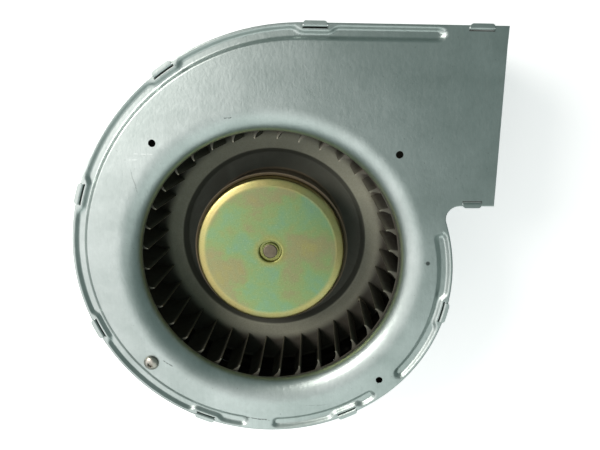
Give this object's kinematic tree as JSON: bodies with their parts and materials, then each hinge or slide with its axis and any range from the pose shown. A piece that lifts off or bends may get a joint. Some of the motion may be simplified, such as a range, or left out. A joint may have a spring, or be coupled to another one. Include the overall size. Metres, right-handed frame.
{
  "type": "centrifugal blower",
  "caption": "Single-inlet centrifugal blower: sheet-steel scroll housing, forward-curved wheel and external-rotor motor.",
  "frame": {"origin": "on the motor's axis at the flat rear face of the motor flange", "axes": "+Z along the motor's axis, out of the inlet; air leaves along +X; +Y towards the far side of the outlet"},
  "size_m": [0.214, 0.2156, 0.0808],
  "materials": {
    "galvanised_sheet": "galvanised, satin",
    "wheel_sheet": "galvanised, dulled by dust",
    "passivated_steel": "yellow passivated, satin",
    "cast_aluminium": "die cast, matte",
    "laminations": "bare stacked sheet",
    "copper_winding": "enamelled wire",
    "ground_steel": "ground",
    "spring_steel": "bright",
    "stainless_screws": "bright",
    "rubber": "matte"
  },
  "bodies": {
    "housing": {"front_plate": "galvanised_sheet", "scroll_band": "galvanised_sheet", "back_plate": "galvanised_sheet", "inlet_screw": "stainless_screws", "flange_screw_1": "stainless_screws", "flange_screw_2": "stainless_screws", "flange_screw_3": "stainless_screws", "motor_flange": "cast_aluminium", "cable_gland": "rubber", "stator_core": "laminations", "winding_front": "copper_winding", "winding_back": "copper_winding", "front_bearing_outer": "ground_steel", "back_bearing_outer": "ground_steel", "preload_washer": "spring_steel"},
    "wheel": {"wheel_back_disc": "wheel_sheet", "wheel_front_ring": "wheel_sheet", "blade_01": "wheel_sheet", "blade_02": "wheel_sheet", "blade_03": "wheel_sheet", "blade_04": "wheel_sheet", "blade_05": "wheel_sheet", "blade_06": "wheel_sheet", "blade_07": "wheel_sheet", "blade_08": "wheel_sheet", "blade_09": "wheel_sheet", "blade_10": "wheel_sheet", "blade_11": "wheel_sheet", "blade_12": "wheel_sheet", "blade_13": "wheel_sheet", "blade_14": "wheel_sheet", "blade_15": "wheel_sheet", "blade_16": "wheel_sheet", "blade_17": "wheel_sheet", "blade_18": "wheel_sheet", "blade_19": "wheel_sheet", "blade_20": "wheel_sheet", "blade_21": "wheel_sheet", "blade_22": "wheel_sheet", "blade_23": "wheel_sheet", "blade_24": "wheel_sheet", "blade_25": "wheel_sheet", "blade_26": "wheel_sheet", "blade_27": "wheel_sheet", "blade_28": "wheel_sheet", "blade_29": "wheel_sheet", "blade_30": "wheel_sheet", "blade_31": "wheel_sheet", "blade_32": "wheel_sheet", "blade_33": "wheel_sheet", "blade_34": "wheel_sheet", "blade_35": "wheel_sheet", "blade_36": "wheel_sheet", "balance_clip": "spring_steel", "rotor_cup": "passivated_steel", "rotor_core": "laminations", "shaft": "ground_steel", "front_bearing_inner": "ground_steel", "back_bearing_inner": "ground_steel", "retaining_ring": "spring_steel"}
  },
  "joints": [
    {"name": "wheel_spin", "type": "hinge", "parent": "housing", "child": "wheel", "pos_m": [0, 0, 0.03], "axis": [0, 0, 1], "continuous": true}
  ]
}
